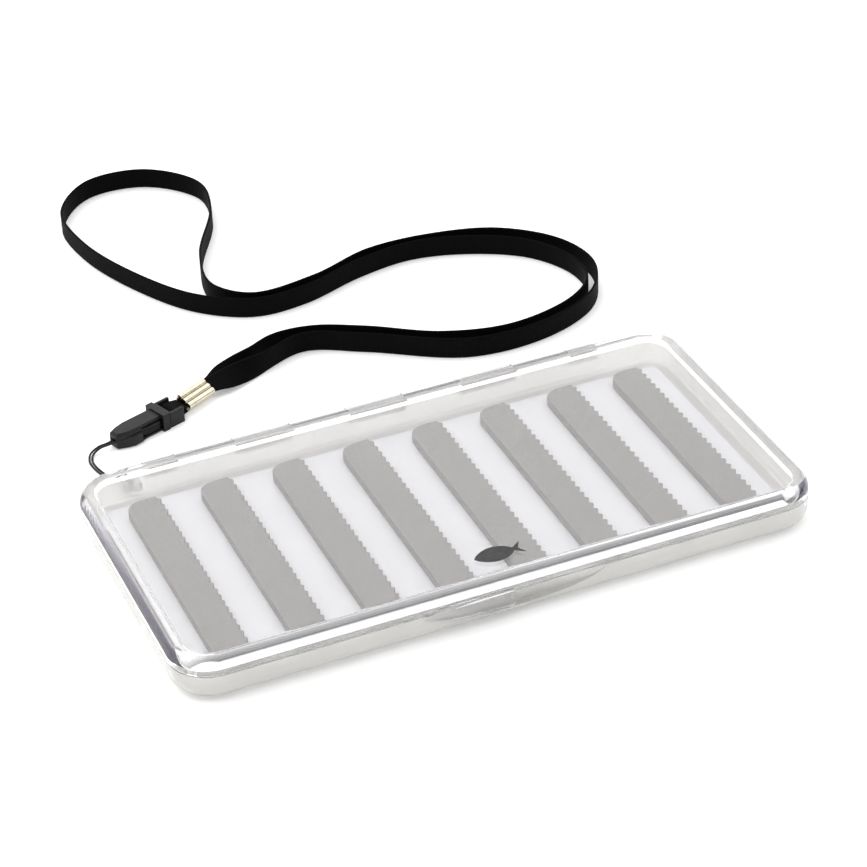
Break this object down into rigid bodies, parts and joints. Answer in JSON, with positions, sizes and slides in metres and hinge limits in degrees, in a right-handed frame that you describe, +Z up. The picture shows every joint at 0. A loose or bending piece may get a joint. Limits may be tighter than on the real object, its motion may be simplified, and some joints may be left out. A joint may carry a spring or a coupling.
{
  "type": "fly box",
  "caption": "Slim clear hinged box with slit foam strips that hold dry flies by the hook, and a neck lanyard with a release buckle.",
  "frame": {"origin": "under the middle of the box, with its hinge barrel and thumb tab and without the lanyard, on the surface it lies on", "axes": "+X along the hinge, +Y to the hinge at the back, +Z up through the lid"},
  "size_m": [0.1911, 0.2797, 0.0138],
  "materials": {
    "clear_plastic": "clear, polished",
    "milky_plastic": "milky white, polished",
    "pin_steel": "drawn wire",
    "white_liner": "matte sheet",
    "grey_foam": "closed-cell foam, matte",
    "black_plastic": "moulded, satin",
    "black_cord": "fine braid",
    "black_ribbon": "ribbed woven ribbon",
    "nickel_plate": "pale nickel plate, bright"
  },
  "bodies": {
    "case": {"base_shell": "milky_plastic", "hinge_pin": "pin_steel", "floor_liner": "white_liner", "slit_strip_1": "grey_foam", "slit_strip_2": "grey_foam", "slit_strip_3": "grey_foam", "slit_strip_4": "grey_foam", "slit_strip_5": "grey_foam", "slit_strip_6": "grey_foam", "slit_strip_7": "grey_foam", "slit_strip_8": "grey_foam", "lanyard_cord": "black_cord", "cord_knot": "black_cord", "buckle_socket": "black_plastic"},
    "lid": {"lid_shell": "clear_plastic"},
    "plug": {"buckle_plug": "black_plastic", "ribbon_tab": "black_ribbon", "crimp": "nickel_plate", "neck_ribbon": "black_ribbon"},
    "arm_left": {"squeeze_arm_left": "black_plastic"},
    "arm_right": {"squeeze_arm_right": "black_plastic"}
  },
  "joints": [
    {"name": "lid_hinge", "type": "hinge", "parent": "case", "child": "lid", "pos_m": [0, 0.04955, 0.008], "axis": [-1, 0, 0], "range_deg": [0, 160]},
    {"name": "buckle_release", "type": "slide", "parent": "case", "child": "plug", "axis": [0.9397, 0.342, 0], "range_m": [0, 0.012]},
    {"name": "arm_left_press", "type": "hinge", "parent": "plug", "child": "arm_left", "pos_m": [-0.05891, 0.08267, 0.0026], "axis": [0, 0, 1], "range_deg": [0, 6], "stiffness_Nm_per_rad": 0.4},
    {"name": "arm_right_press", "type": "hinge", "parent": "plug", "child": "arm_right", "pos_m": [-0.05761, 0.0791, 0.0026], "axis": [0, 0, -1], "range_deg": [0, 6], "stiffness_Nm_per_rad": 0.4}
  ]
}
